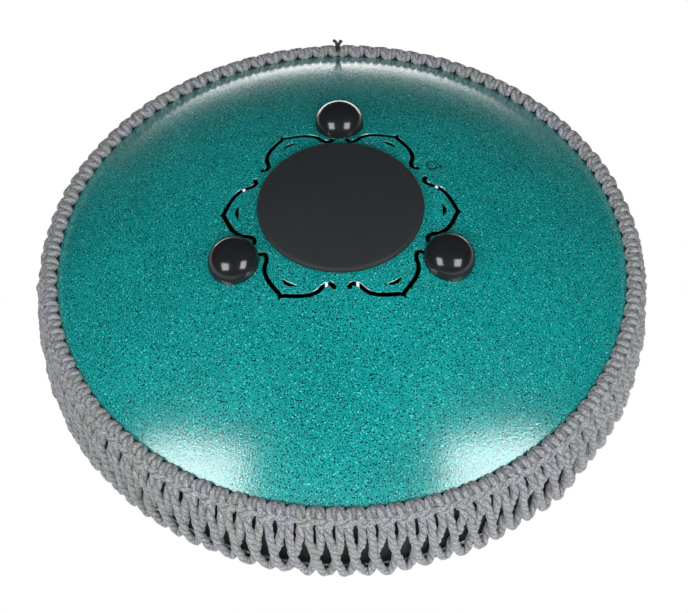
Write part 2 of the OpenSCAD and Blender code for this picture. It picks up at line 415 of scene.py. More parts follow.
@dataclass(frozen=True)
class Finish:
    """A procedural finish with one shader."""

    name: str

    def sockets(self, tree: NodeTree) -> dict[str, Any]:
        """Build the pattern and return the shader's inputs."""
        raise NotImplementedError

    def material(self) -> Material:
        """Build the material."""
        made, tree = new_material(self.name)
        shader = add(tree, "ShaderNodeBsdfPrincipled", inputs=self.sockets(tree))
        add(tree, "ShaderNodeOutputMaterial", inputs={"Surface": shader.outputs[0]})
        return made


@dataclass(frozen=True)
class PowderCoat(Finish):
    """Textured powder coat on pressed steel, baked on as fine grains.

    It gives the eye a satin teal with black and pale specks, and highlights that break into grain.
    """

    name: str = "powder_coat_teal"
    base: str = "#04827f"
    deep: str = "#036563"
    dark: str = "#03232a"
    pale: str = "#56c6c4"
    cloud_mm: float = 34
    cloud_stops: Stops = ((0.35, 0), (0.7, 1))
    cloud_fade: float = 0.62
    detail: float = 3
    speck_mm: float = 0.8
    dark_stops: Stops = ((0.38, 1), (0.47, 0))
    pale_share: float = 1.13
    pale_stretch: Point3 = (1, 1, 1.31)
    pale_stops: Stops = ((0.6, 0), (0.67, 1))
    grain_mm: float = 1.2
    grain_stretch: Point3 = (1.1, 0.9, 1)
    depth_mm: float = 0.12
    roughness: float = 0.24
    ior: float = 1.5
    specular: float = 0.25
    coat_depth_mm: float = 0.08
    coat_roughness: float = 0.14
    coat_ior: float = 1.62

    def sockets(self, tree: NodeTree) -> dict[str, Any]:
        """Build the speckled coat: faint clouds, pale specks, dark specks and orange peel."""
        base = linear(self.base)
        cloud = ramp(tree, object_noise(tree, self.cloud_mm, self.detail), self.cloud_stops)
        cloudy = mixed(tree, cloud, base, linear(self.deep))
        colour = mixed(tree, self.cloud_fade, cloudy, base)
        pale = object_noise(tree, self.speck_mm * self.pale_share, self.detail, self.pale_stretch)
        colour = mixed(tree, ramp(tree, pale, self.pale_stops), colour, linear(self.pale))
        dark = ramp(tree, object_noise(tree, self.speck_mm, self.detail), self.dark_stops)
        colour = mixed(tree, dark, colour, linear(self.dark))
        grain = object_noise(tree, self.grain_mm, stretch=self.grain_stretch)
        return {"Base Color": colour, "Roughness": self.roughness, "IOR": self.ior,
                "Specular IOR Level": self.specular, "Coat Weight": 1.0,
                "Coat Roughness": self.coat_roughness, "Coat IOR": self.coat_ior,
                "Coat Normal": bump(tree, grain, self.coat_depth_mm),
                "Normal": bump(tree, grain, self.depth_mm)}


@dataclass(frozen=True)
class GrainedSteel(Finish):
    """Steel in two close tones, with a grain that dents it.

    Tone and grain are each a size in millimetres and a detail.
    """

    dark: str
    pale: str
    tone: Point
    grain: Point
    depth_mm: float
    roughness: float
    metallic: float = 1.0
    stretch: Point3 = NO_STRETCH

    def sockets(self, tree: NodeTree) -> dict[str, Any]:
        """Build the two tones and the grain."""
        tone = object_noise(tree, *self.tone, self.stretch)
        grain = object_noise(tree, *self.grain, self.stretch)
        return {"Base Color": mixed(tree, tone, linear(self.dark), linear(self.pale)),
                "Metallic": self.metallic, "Roughness": self.roughness,
                "Normal": bump(tree, grain, self.depth_mm)}


# Thin black primer on the unlit inner faces, partly painted shade that keeps the cuts dark.
PRIMER_AND_SHADE = GrainedSteel("black_primer_and_painted_shade", "#0b0d0e", "#15181a", (6, 3), (1.2, 2), 0.05, 0.7, 0.0)
# Laser-cut edge, ground and left bare. Its upright drag lines glint along each cut.
CUT_EDGE = GrainedSteel("laser_cut_steel", "#2c3030", "#6f7676", (0.5, 1), (0.5, 1), 0.03, 0.34,
                        stretch=(1, 1, 0.1))
# Weld bead ground nearly flush: bare steel with short grinding lines.
WELD = GrainedSteel("ground_weld", "#55585a", "#8a8e90", (1.2, 2), (1.2, 2), 0.05, 0.45,
                    stretch=(1, 1, 0.15))


@dataclass(frozen=True)
class MouldedRubber(Finish):
    """Moulded synthetic rubber, faintly dusty. Its gloss comes from the mould's polish."""

    colour: str
    roughness: float
    grain_mm: float = 0.5
    grain_depth_mm: float = 0.015
    dust: str = "#4a5052"
    dust_mm: float = 9
    dust_detail: float = 4
    dust_stops: Stops = ((0.5, 0), (0.95, 0.35))
    ior: float = 1.52

    def sockets(self, tree: NodeTree) -> dict[str, Any]:
        """Build the rubber."""
        dusty = ramp(tree, object_noise(tree, self.dust_mm, self.dust_detail), self.dust_stops)
        return {"Base Color": mixed(tree, dusty, linear(self.colour), linear(self.dust)),
                "Roughness": self.roughness, "IOR": self.ior,
                "Normal": bump(tree, object_noise(tree, self.grain_mm), self.grain_depth_mm)}


# Matte band behind the cords, coarse enough to stay dark between them.
BAND = MouldedRubber("band_rubber", "#101314", 0.8, grain_mm=1.2, grain_depth_mm=0.1)
# The plug's flat, nearly even black.
PLUG = MouldedRubber("plug_rubber", "#12181a", 0.75, dust="#1d2325")
# The feet's polish, which gives them small, clear highlights.
FOOT = MouldedRubber("foot_rubber", "#17191b", 0.16, grain_depth_mm=0.004, dust="#24282a")


@dataclass(frozen=True)
class TwistedCotton(Finish):
    """Soft cotton cord, three plies twisted, with painted shade in the grooves between plies.
    Fibres blur it.
    """

    lilac: str
    green: str
    painted_groove_shade: str
    fibre_mm: float = 0.8
    fibre_detail: float = 4
    fibre_stops: Stops = ((0.36, 0.32), (0.62, 1.0))
    groove_shade_stops: Stops = ((0.0, 0.85), (0.5, 0))
    depth_mm: float = 0.55
    roughness: float = 0.92
    ior: float = 1.45
    specular: float = 0.2
    sheen: float = 0.25

    def sockets(self, tree: NodeTree) -> dict[str, Any]:
        """Build the cord from its tint and crest attributes, with painted shade in the grooves."""
        tint, crest = (add(tree, "ShaderNodeAttribute", {"attribute_name": name}).outputs["Fac"]
                       for name in ("tint", "crest"))
        colour = mixed(tree, tint, linear(self.lilac), linear(self.green))
        fibre = object_noise(tree, self.fibre_mm, self.fibre_detail)
        colour = mixed(tree, 1.0, colour, ramp(tree, fibre, self.fibre_stops), "MULTIPLY")
        # Painted shade: the hollows between the plies are darkened towards the groove colour.
        groove_shade_mask = ramp(tree, crest, self.groove_shade_stops)
        colour = mixed(tree, groove_shade_mask, colour, linear(self.painted_groove_shade))
        return {"Base Color": colour, "Roughness": self.roughness, "IOR": self.ior,
                "Specular IOR Level": self.specular, "Sheen Weight": self.sheen,
                "Normal": bump(tree, fibre, self.depth_mm)}


# The cover's cord: grey, leaning to lilac in some knots and to green in others. Its third colour is
# painted groove shade.
GREY_COTTON = TwistedCotton("cotton_cord_grey", "#9a9ba3", "#959a97", "#4c4e54")
# The tie at the back, dark brown. Its third colour is painted groove shade.
BROWN_COTTON = TwistedCotton("cotton_cord_brown", "#3c2a22", "#32241e", "#120c09")


# ---- shells


@dataclass
class PressedShell:
    """One pressed half shell with its cuts, as a sheet that Solidify gives its thickness."""

    name: str
    node: str
    side: int
    sizes: DrumSizes
    chamfer: float = 0.3
    ring_step: float = 5.0
    ring_spread: float = 1.15
    least_count: int = 8
    around: int = 256
    shoulder_steps: int = 14
    seam_gap: float = 0.05
    tolerance: float = 1e-5
    outlines: list[list[Point]] = field(default_factory=list)
    wide_outlines: list[list[Point]] = field(default_factory=list)

    def cut(self, outline: Callable[[float], list[Point]]) -> None:
        """Add a cut from a function that gives its outline, widened by an amount."""
        for grow, kept in ((0.0, self.outlines), (self.chamfer, self.wide_outlines)):
            points = outline(grow)
            area = sum(a[0] * b[1] - b[0] * a[1]
                       for a, b in zip(points, points[1:] + points[:1]))
            kept.append(points if area > 0 else points[::-1])

    def ring(self, radius: float, count: int, shift: float = 0.0) -> list[Point]:
        """Points on a circle, turned by a share of their step."""
        return [(radius * math.cos(TAU * (i + shift) / count),
                 radius * math.sin(TAU * (i + shift) / count)) for i in range(count)]

    def crown(self) -> tuple[list[Point3], list[list[int]]]:
        """Triangulate the crown round its cuts, with a small chamfer along each cut."""
        points: list[Vector] = []
        edges: list[tuple[int, int]] = []
        loops: list[list[int]] = []

        def loop(outline: Sequence[Point]) -> range:
            """Add one closed outline and return its edges' numbers."""
            start, first = len(points), len(edges)
            points.extend(Vector(p) for p in outline)
            n = len(outline)
            edges.extend((start + i, start + (i + 1) % n) for i in range(n))
            loops.append(list(range(start, start + n)))
            return range(first, first + n)

        meet = self.sizes.meet_r
        loop(self.ring(meet, self.around))
        cut_edges: set[int] = set()
        for outline in self.outlines:
            cut_edges.update(loop(outline))
        cut_loops = set(range(1, len(loops)))
        for outline in self.wide_outlines:
            loop(outline)
        radius, number = self.ring_step, 0
        while radius < meet - self.ring_step / 2:
            count = max(self.least_count, round(TAU * radius / (self.ring_step * self.ring_spread)))
            points.extend(Vector(p) for p in self.ring(radius, count, number % 2 / 2))
            radius += self.ring_step
            number += 1
        flat, out_edges, faces, _, from_edges, from_faces = geometry.delaunay_2d_cdt(
            points, edges, loops, 0, self.tolerance)
        lowered = {v for edge, source in zip(out_edges, from_edges)
                   if cut_edges.intersection(source) for v in edge}
        kept = [list(face) for face, source in zip(faces, from_faces)
                if not cut_loops.intersection(source)]
        verts = []
        for i, p in enumerate(flat):
            height = self.sizes.dome_height(min(p.length, meet))
            verts.append((p.x, p.y, height - (self.chamfer if i in lowered else 0)))
        return verts, kept

    def wall(self, start: int) -> tuple[list[Point3], list[list[int]]]:
        """Revolve the shoulder and the wall down to the seam."""
        s = self.sizes
        top = math.degrees(math.acos((s.meet_r - s.corner[0]) / s.shoulder_r))
        profile = arc(s.corner, s.shoulder_r, top, 0, self.shoulder_steps)
        profile[0] = (s.meet_r, s.dome_height(s.meet_r))
        profile += [(s.wall_r, s.wall_h / 2), (s.wall_r, self.seam_gap)]
        return revolved(profile, self.around, start)

    def build(self, *materials: Material) -> None:
        """Make the shell of coat, primer that is partly painted shade, and cut edge; let it stand
        for its node.
        """
        verts, faces = self.crown()
        more, wall_faces = self.wall(len(verts))
        placed = [(x, y, self.sizes.seam_z + self.side * z) for x, y, z in verts + more]
        obj = mesh_object(self.name, placed, faces + wall_faces)
        highest = max(obj.data.polygons, key=lambda f: self.side * f.center.z)
        if highest.normal.z * self.side < 0:
            obj.data.flip_normals()
        for material in materials:
            obj.data.materials.append(material)
        solid = obj.modifiers.new("sheet", "SOLIDIFY")
        solid.thickness = self.sizes.steel_t * MM
        solid.offset = -1
        solid.material_offset = 1
        solid.material_offset_rim = 2
        obj = baked(obj, self.name)
        smooth(obj, SHELL_SHARP)
        hand_over(obj, Body.DRUM, Slot.COATED_STEEL, self.node)


@dataclass
class LotusCuts:
    """The lotus lines, crescents and holes cut in the base.

    The cheek's marks are falls from the tip in millimetres and shares of the half width.
    """

    petals: int = 6
    line_w: float = 2.35
    tip_r: float = 67.0
    foot_r: float = 47.8
    half_w: float = 18.6
    cheek: tuple[Point, ...] = (
        (1.2, 0.01), (2.3, 0.1), (4.3, 0.36), (6.8, 0.61), (9.8, 0.8), (13.0, 0.91),
        (16.3, 0.955), (18.6, 1.03), (19.7, 1.14), (18.8, 1.23))
    cheek_step: float = 1.1
    spike_share: float = 0.8
    spike_w_share: float = 0.75
    dot_r: float = 1.45
    dot_steps: int = 12
    crescent_share: float = 0.42
    crescent_l: float = 9.4
    crescent_w: float = 1.9
    crescent_bow: float = 2.2
    crescent_end: float = 0.1
    crescent_inner_share: float = 0.98
    crescent_steps: int = 7
    hole_steps: int = 120
    stem_hole_r: float = 4.2
    stem_hole_steps: int = 16

    def petal_path(self, side: int) -> list[Point]:
        """Half of a petal's line, from its spiked tip over the full cheek to the curl."""
        marks = [(self.tip_r - fall, share * self.half_w, 0) for fall, share in self.cheek]
        return [(x, side * y) for x, y, _ in catmull(marks, self.cheek_step)]

    @staticmethod
    def line(path: Sequence[Point], width: float, extend: float) -> list[Point]:
        """Outline of a line of a width along a path, longer by extend at each end."""
        left, right = [], []
        last = len(path) - 1
        for i, (x, y) in enumerate(path):
            ax, ay = path[max(i - 1, 0)]
            bx, by = path[min(i + 1, last)]
            run = math.hypot(bx - ax, by - ay)
            dx, dy = (bx - ax) / run, (by - ay) / run
            push = extend * ((i == last) - (i == 0))
            left.append((x + dx * push - dy * width / 2, y + dy * push + dx * width / 2))
            right.append((x + dx * push + dy * width / 2, y + dy * push - dx * width / 2))
        return left + right[::-1]

    def apply(self, shell: PressedShell) -> None:
        """Add all the base's cuts to its shell."""
        s = shell.sizes

        def hole(centre: Point, radius: float, steps: int) -> None:
            """Cut a round hole."""
            shell.cut(lambda grow: arc(centre, radius + grow, 0, 360, steps)[:-1])

        hole((0, 0), s.hole_d / 2, self.hole_steps)
        for angle in s.foot_angles:
            hole(turned([(s.foot_circle_d / 2, 0)], angle)[0], self.stem_hole_r,
                 self.stem_hole_steps)
        for petal in range(self.petals):
            turn = petal * 360 / self.petals
            for side in (-1, 1):
                path = self.petal_path(side)
                shell.cut(lambda grow, p=path, t=turn: turned(
                    self.line(p, self.line_w + 2 * grow, grow), t))
                hole(turned(path[-1:], turn)[0], self.dot_r, self.dot_steps)
            shell.cut(lambda grow, t=turn: turned(self.spike(grow), t))
            shell.cut(lambda grow, t=turn: turned(self.crescent(grow), t))

    def spike(self, grow: float) -> list[Point]:
        """Outline of the small point at a petal's tip."""
        back, half = self.tip_r - self.line_w - grow, self.line_w * self.spike_w_share + grow
        tip = self.tip_r + self.line_w * self.spike_share + 2 * grow
        return [(tip, 0), (back, half), (back, -half)]

    def crescent(self, grow: float) -> list[Point]:
        """Outline of the small crescent in a petal."""
        x = self.tip_r - self.crescent_share * (self.tip_r - self.foot_r)
        half = self.crescent_l / 2 + grow
        steps = [i / self.crescent_steps - 1 for i in range(2 * self.crescent_steps + 1)]
        outer = [(x + grow - self.crescent_bow * t * t, t * half) for t in steps]
        inner = [(x - grow - self.crescent_w * (1 - t * t) - self.crescent_bow * t * t
                  - self.crescent_end, t * half * self.crescent_inner_share)
                 for t in reversed(steps)]
        return outer + inner[1:-1]


@dataclass
class KeyLetter:
    """The small key letter engraved in the base: thin black strokes with serifs.

    The bowl's marks are shares of the letter's height and of the bowl's width.
    """

    radius: float = 59.2
    angle: float = 150.0
    height: float = 7.6
    bowl: float = 5.6
    bowl_shares: tuple[Point, ...] = ((0.1, 0.0), (0.02, 0.42), (0.1, 0.85), (0.42, 1.05),
                                      (0.78, 0.8), (0.93, 0.3), (0.96, 0.0))
    bowl_step: float = 0.4
    stroke: float = 0.8
    stem_share: float = 1.25
    serif: float = 1.6
    outer_serif: float = 1.92
    lift: float = 0.04

    def strokes(self) -> list[tuple[list[Point], float]]:
        """Centrelines of the letter's strokes with their widths, stem along the radius."""
        low, high = self.radius, self.radius + self.height
        bowl = [(low + self.height * a, self.bowl * b, 0) for a, b in self.bowl_shares]
        return [([(low, 0), (high, 0)], self.stroke * self.stem_share),
                ([(low, -self.serif / 2), (low, self.serif / 2)], self.stroke),
                ([(high, -self.outer_serif / 2), (high, self.outer_serif / 2)], self.stroke),
                ([(x, y) for x, y, _ in catmull(bowl, self.bowl_step)], self.stroke)]

    def build(self, sizes: DrumSizes, ink: Material) -> None:
        """Lay the strokes as a thin inlay that follows the base."""
        verts: list[Point3] = []
        faces: list[list[int]] = []
        for path, width in self.strokes():
            outline = LotusCuts.line(path, width, 0.0)
            start, n = len(verts), len(outline)
            for x, y in turned([(x, -y) for x, y in outline], self.angle):
                z = sizes.seam_z - sizes.dome_height(math.hypot(x, y))
                verts.extend([(x, y, z - self.lift), (x, y, z + self.lift)])
            for i in range(n // 2 - 1):
                quad = (i, i + 1, n - 2 - i, n - 1 - i)
                faces.append([start + 2 * k for k in quad])
                faces.append([start + 2 * k + 1 for k in reversed(quad)])
            for i in range(n):
                j = (i + 1) % n
                faces.append([start + 2 * i, start + 2 * i + 1,
                              start + 2 * j + 1, start + 2 * j])
        letter = mesh_object("key_letter", verts, faces)
        letter.data.materials.append(ink)
        hand_over(letter, Body.DRUM, Slot.COATED_STEEL)


@dataclass
class TongueCuts:
    """The U-shaped cuts round the tongues of the playing face."""

    slot_w: float = 1.8
    relief_d: float = 3.6
    tip_r: float = 74.0
    length: float = 70.0
    width: float = 40.0
    inner_tip_r: float = 23.0
    inner_length: float = 41.0
    inner_width: float = 19.0
    width_share: float = 0.5
    outer_shares: tuple[float, ...] = (1, 0.8, 0.96, 0.84, 0.92, 0.88, 0.9, 0.86, 0.94)
    inner_shares: tuple[float, ...] = (1, 0.86, 0.96, 0.9, 0.93, 0.83)
    tip_steps: int = 28
    relief_steps: int = 14

    def outline(self, tip_r: float, length: float, width: float, grow: float) -> list[Point]:
        """Outline of one cut: up one leg, round the tip, down the other, and back inside."""
        mid = (tip_r + width / 2, 0)
        end = tip_r + length
        outer, inner = width / 2 + self.slot_w + grow, width / 2 - grow
        relief = self.relief_d / 2 + grow
        edge = math.degrees(math.asin((self.slot_w / 2 + grow) / relief))
        centre = (width + self.slot_w) / 2
        path = arc(mid, outer, 90, 270, self.tip_steps)
        path += arc((end, -centre), relief, 180 + edge, 540 - edge, self.relief_steps)
        path += arc(mid, inner, 270, 90, self.tip_steps)
        path += arc((end, centre), relief, 180 + edge - 360, 180 - edge, self.relief_steps)
        return path

    def ring(self, shell: PressedShell, shares: Sequence[float], tip_r: float, length: float,
             width: float, start: float) -> None:
        """Add one ring of cuts to the shell."""
        for i, share in enumerate(shares):
            own_tip, own_l = tip_r + length * (1 - share), length * share
            own_w = width * (1 - self.width_share * (1 - share))
            shell.cut(lambda grow, a=own_tip, b=own_l, c=own_w,
                      t=start + i * 360 / len(shares): turned(self.outline(a, b, c, grow), t))

    def apply(self, shell: PressedShell) -> None:
        """Add both rings of cuts."""
        self.ring(shell, self.outer_shares, self.tip_r, self.length, self.width, -90)
        self.ring(shell, self.inner_shares, self.inner_tip_r, self.inner_length,
                  self.inner_width, 90)


# ---- rubber parts


@dataclass
class ShadeRings:
    """Two thin black rings that show past the rim band. Both are painted shade.

    The edge ring is painted shade: the dark line along the knots. The foot stands off the wall
    behind the cover's loops and puts painted shade into the holes between them.
    """

    sizes: DrumSizes
    angles: Point = (38.0, 55.0)
    edge_gap: float = 0.05
    edge_t: float = 0.5
    edge_steps: int = 8
    foot_gap: float = 0.4
    foot_reach: float = 3.3
    foot_top: float = 3.0
    foot_low: float = 4.0
    segments: int = 256

    def build(self, rubber: Material) -> None:
        """Spin both rings."""
        s = self.sizes
        start, end = self.angles
        outer = arc(s.corner, s.shoulder_r + self.edge_t, start, end, self.edge_steps)
        inner = arc(s.corner, s.shoulder_r + self.edge_gap, end, start, self.edge_steps)
        near, far = s.wall_r + self.foot_gap, s.wall_r + self.foot_reach
        top, low = -self.foot_top - s.cover_edge_h, -self.foot_low - s.cover_edge_h
        foot = [(far, top), (near, top), (near, low), (far, low), (far, top)]
        # Both rings are painted shade: the dark line along the knots and the dark holes between the
        # loops.
        for name, profile in (("painted_shade_edge", outer + inner + outer[:1]), ("painted_shade_foot", foot)):
            made = lathe(name, [(r, s.seam_z - z) for r, z in profile], self.segments)
            hand_over(moulded(made, rubber), Body.DRUM, Slot.BAND_RUBBER)


@dataclass
class ResonancePlug:
    """The resonance plug: a thin disc with a soft lip that follows the base, and its collar."""

    sizes: DrumSizes
    radius: float = 46.5
    thick: float = 4.0
    gap: float = 0.3
    wall: float = 3.0
    neck: float = 10.0
    under: float = 2.0
    chamfer: float = 0.6
    lip_angle: float = 88.0
    lip_steps: int = 10
    face_steps: int = 16
    inner_steps: int = 8
    segments: int = 160

    def build(self, rubber: Material) -> None:
        """Spin the plug."""
        s = self.sizes
        inner_r = s.dome_r + self.gap
        edge = self.radius - self.thick / 2

        def skin(radius: float, sphere: float) -> Point:
            """Point on a sphere about the crown's centre, downwards in the row frame."""
            return (radius, s.base_centre_z - math.sqrt(sphere ** 2 - radius ** 2))

        face = [skin(edge * i / self.face_steps, inner_r + self.thick)
                for i in range(self.face_steps)]
        lip = arc(skin(edge, inner_r + self.thick / 2), self.thick / 2, -self.lip_angle,
                  self.lip_angle, self.lip_steps)
        out = s.hole_d / 2 - self.gap
        into = out - self.wall
        top = skin(out, inner_r)[1] - self.thick / 2 + self.neck
        low = top - self.chamfer
        collar = [skin(out + self.under, inner_r), skin(out, inner_r), (out, low),
                  (out - self.chamfer, top), (into + self.chamfer, top), (into, low)]
        inner = [skin(into * i / self.inner_steps, inner_r)
                 for i in range(self.inner_steps, -1, -1)]
        made = lathe("plug_rubber", face + lip + collar + inner, self.segments)
        hand_over(moulded(made, rubber), Body.PLUG, Slot.MATTE_RUBBER, "resonance_plug")


@dataclass
class RubberFoot:
    """A push-in foot: nearly half a ball, a stem and a bead behind the shell."""

    sizes: DrumSizes
    radius: float = 14.3
    edge_r: float = 11.6
    skirt: float = 1.2
    seam: float = 0.3
    cap_shares: tuple[float, ...] = (0.6, 0.3, 0.0)
    cap_steps: int = 18
    stem_r: float = 4.0
    bead_r: float = 5.3
    bead_l: float = 6.0
    bead_share: float = 0.2
    point_share: float = 0.6
    gap: float = 0.1
    segments: int = 72

    def build(self, name: str, node: str, angle: float, rubber: Material) -> None:
        """Spin one foot, seat it on the base and cut it flat where it stands.

        Args:
            name: Name of the piece.
            node: CAD node that it stands for.
            angle: Direction of the foot from the axis, in degrees.
            rubber: Its material.
        """
        s = self.sizes
        top_r, high = self.radius - self.edge_r, self.skirt + self.edge_r
        point, bead = -s.steel_t - self.bead_l, self.bead_share * self.bead_l
        seat = -(s.dome_r - math.sqrt(s.dome_r ** 2 - self.radius ** 2)) + self.gap
        profile = [(0, point), (self.stem_r * self.point_share, point),
                   (self.bead_r, -s.steel_t - 2 * bead), (self.bead_r, -s.steel_t - bead),
                   (self.stem_r, -s.steel_t - self.gap), (self.stem_r, self.gap),
                   (self.radius - self.seam, seat), (self.radius, seat + self.seam)]
        profile += arc((top_r, self.skirt), self.edge_r, 0, 90, self.cap_steps)
        profile += [(top_r * share, high) for share in self.cap_shares]
        made = lathe(name, profile, self.segments)
        tilt = math.asin(s.foot_circle_d / 2 / s.dome_r)
        made.data.transform(Matrix.Rotation(math.radians(angle), 4, "Z")
                            @ Matrix.Translation((0, 0, s.base_centre_z * MM))
                            @ Matrix.Rotation(math.pi - tilt, 4, "Y")
                            @ Matrix.Translation((0, 0, s.dome_r * MM)))
        for vertex in made.data.vertices:
            vertex.co.z = max(vertex.co.z, 0.0)
        hand_over(moulded(made, rubber), Body.DRUM, Slot.GLOSS_RUBBER, node)


# ---- cord cover


class CordTree:
    """Geometry Nodes that lay one unit's centrelines round the drum and twist cord along them."""

    INPUTS = {"Count": "Int", "Pitch Angle": "Float", "Start Angle": "Float",
              "Cord Radius": "Float", "Ply Depth": "Float", "Lay Length": "Float",
              "Sides": "Int", "Wander": "Float", "Wander Size": "Float", "Seed": "Int",
              "Cotton": "Material"}
    PLIES = 3
    NOISE_MIDDLE = (0.5, 0.5, 0.5)

    def __init__(self) -> None:
        """Build the tree once."""
        self.group = bpy.data.node_groups.new("cord_round_drum", "GeometryNodeTree")
        face = self.group.interface
        face.new_socket("Geometry", in_out="INPUT", socket_type="NodeSocketGeometry")
        for name, kind in self.INPUTS.items():
            face.new_socket(name, in_out="INPUT", socket_type="NodeSocket" + kind)
        face.new_socket("Geometry", in_out="OUTPUT", socket_type="NodeSocketGeometry")
        self.wire()

    def node(self, kind: str, inputs: dict[Any, Any] | None = None, output: int | str = 0,
             **settings: Any) -> NodeSocket:
        """Add a node of the Geometry Nodes family and return one output."""
        return add(self.group, "GeometryNode" + kind, settings, inputs).outputs[output]

    def vector(self, operation: str, inputs: dict[Any, Any]) -> NodeSocket:
        """Add a Vector Math node."""
        return add(self.group, "ShaderNodeVectorMath", {"operation": operation},
                   inputs).outputs[0]

    def mark(self, given: NodeSocket, domain: str, name: str, value: NodeSocket) -> NodeSocket:
        """Store a number as a named attribute that the cotton reads."""
        return self.node("StoreNamedAttribute", {"Geometry": given, "Name": name, "Value": value},
                         data_type="FLOAT", domain=domain)

    def rows(self, given: Any, index: NodeSocket) -> NodeSocket:
        """Set the units round the drum, each with its random tint, as curves."""
        tree = self.group
        angle = maths(tree, "MULTIPLY_ADD", index, given["Pitch Angle"], given["Start Angle"])
        turn = add(tree, "ShaderNodeCombineXYZ", inputs={"Z": angle}).outputs[0]
        rotation = add(tree, "FunctionNodeEulerToRotation", inputs={0: turn}).outputs[0]
        units = self.node("InstanceOnPoints", {
            "Points": self.node("Points", {"Count": given["Count"]}),
            "Instance": given["Geometry"], "Rotation": rotation})
        tint = add(tree, "FunctionNodeRandomValue", {"data_type": "FLOAT"},
                   {"ID": index, "Seed": given["Seed"]}).outputs[1]
        lines = self.node("RealizeInstances", {0: self.mark(units, "INSTANCE", "tint", tint)})
        return self.node("MeshToCurve", {"Mesh": lines})

    def profile(self, given: Any, index: NodeSocket, place: NodeSocket) -> NodeSocket:
        """Draw the section of the plies, with their crests marked for the cotton's painted groove
        shade.
        """
        tree = self.group
        circle = self.node("CurvePrimitiveCircle", {"Resolution": given["Sides"], "Radius": 1.0},
                           mode="RADIUS")
        around = maths(tree, "MULTIPLY", maths(tree, "DIVIDE", index, given["Sides"]),
                       self.PLIES * TAU)
        wave = maths(tree, "MULTIPLY_ADD", maths(tree, "COSINE", around), 0.5, 0.5)
        dip = maths(tree, "MULTIPLY", maths(tree, "SUBTRACT", 1.0, wave), given["Ply Depth"])
        reach = maths(tree, "MULTIPLY", maths(tree, "SUBTRACT", 1.0, dip), given["Cord Radius"])
        return self.node("SetPosition", {
            "Geometry": self.mark(circle, "POINT", "crest", wave),
            "Position": self.vector("SCALE", {0: place, "Scale": reach})})

    def wire(self) -> None:
        """Wire the tree: rows of units, wander, twist, sweep, material."""
        tree = self.group
        given = add(tree, "NodeGroupInput").outputs
        index, place = self.node("InputIndex"), self.node("InputPosition")
        scale = maths(tree, "DIVIDE", 1.0, given["Wander Size"])
        noise = add(tree, "ShaderNodeTexNoise", {"noise_dimensions": "4D"},
                    {"Vector": place, "W": given["Seed"], "Scale": scale, "Detail": 1.0})
        centred = self.vector("SUBTRACT", {0: noise.outputs["Color"], 1: self.NOISE_MIDDLE})
        moved = self.node("SetPosition", {
            "Geometry": self.rows(given, index),
            "Offset": self.vector("SCALE", {0: centred, "Scale": given["Wander"]})})
        length = self.node("SplineParameter", output="Length")
        tilt = maths(tree, "DIVIDE", maths(tree, "MULTIPLY", length, TAU), given["Lay Length"])
        twisted = self.node("SetCurveTilt", {"Curve": moved, "Tilt": tilt})
        swept = self.node("CurveToMesh", {
            "Curve": twisted, "Profile Curve": self.profile(given, index, place),
            "Fill Caps": True})
        shaded = self.node("SetShadeSmooth", {"Geometry": swept, "Shade Smooth": True})
        real = self.node("RealizeInstances", {0: shaded})
        dressed = self.node("SetMaterial", {"Geometry": real, "Material": given["Cotton"]})
        add(tree, "NodeGroupOutput", inputs={0: dressed})

    def lay(self, name: str, lines: Sequence[Sequence[Point3]], values: dict[str, Any]) -> Object:
        """Lay cord along centrelines.

        Args:
            name: Name of the piece.
            lines: Centrelines of one unit, in millimetres in the row frame.
            values: Values of the tree's named inputs.

        Returns:
            A plain mesh object of all the cords.
        """
        verts: list[Vector] = []
        edges: list[tuple[int, int]] = []
        for line in lines:
            start = len(verts)
            verts.extend(Vector(p) * MM for p in line)
            edges.extend((start + i, start + i + 1) for i in range(len(line) - 1))
        mesh = bpy.data.meshes.new(name + "_lines")
        mesh.from_pydata(verts, edges, [])
        obj = linked(name + "_lines", mesh)
        modifier = obj.modifiers.new("cord", "NODES")
        modifier.node_group = self.group
        sockets = {item.name: item.identifier for item in self.group.interface.items_tree
                   if item.in_out == "INPUT"}
        for key, value in values.items():
            modifier[sockets[key]] = value
        return baked(obj, name)


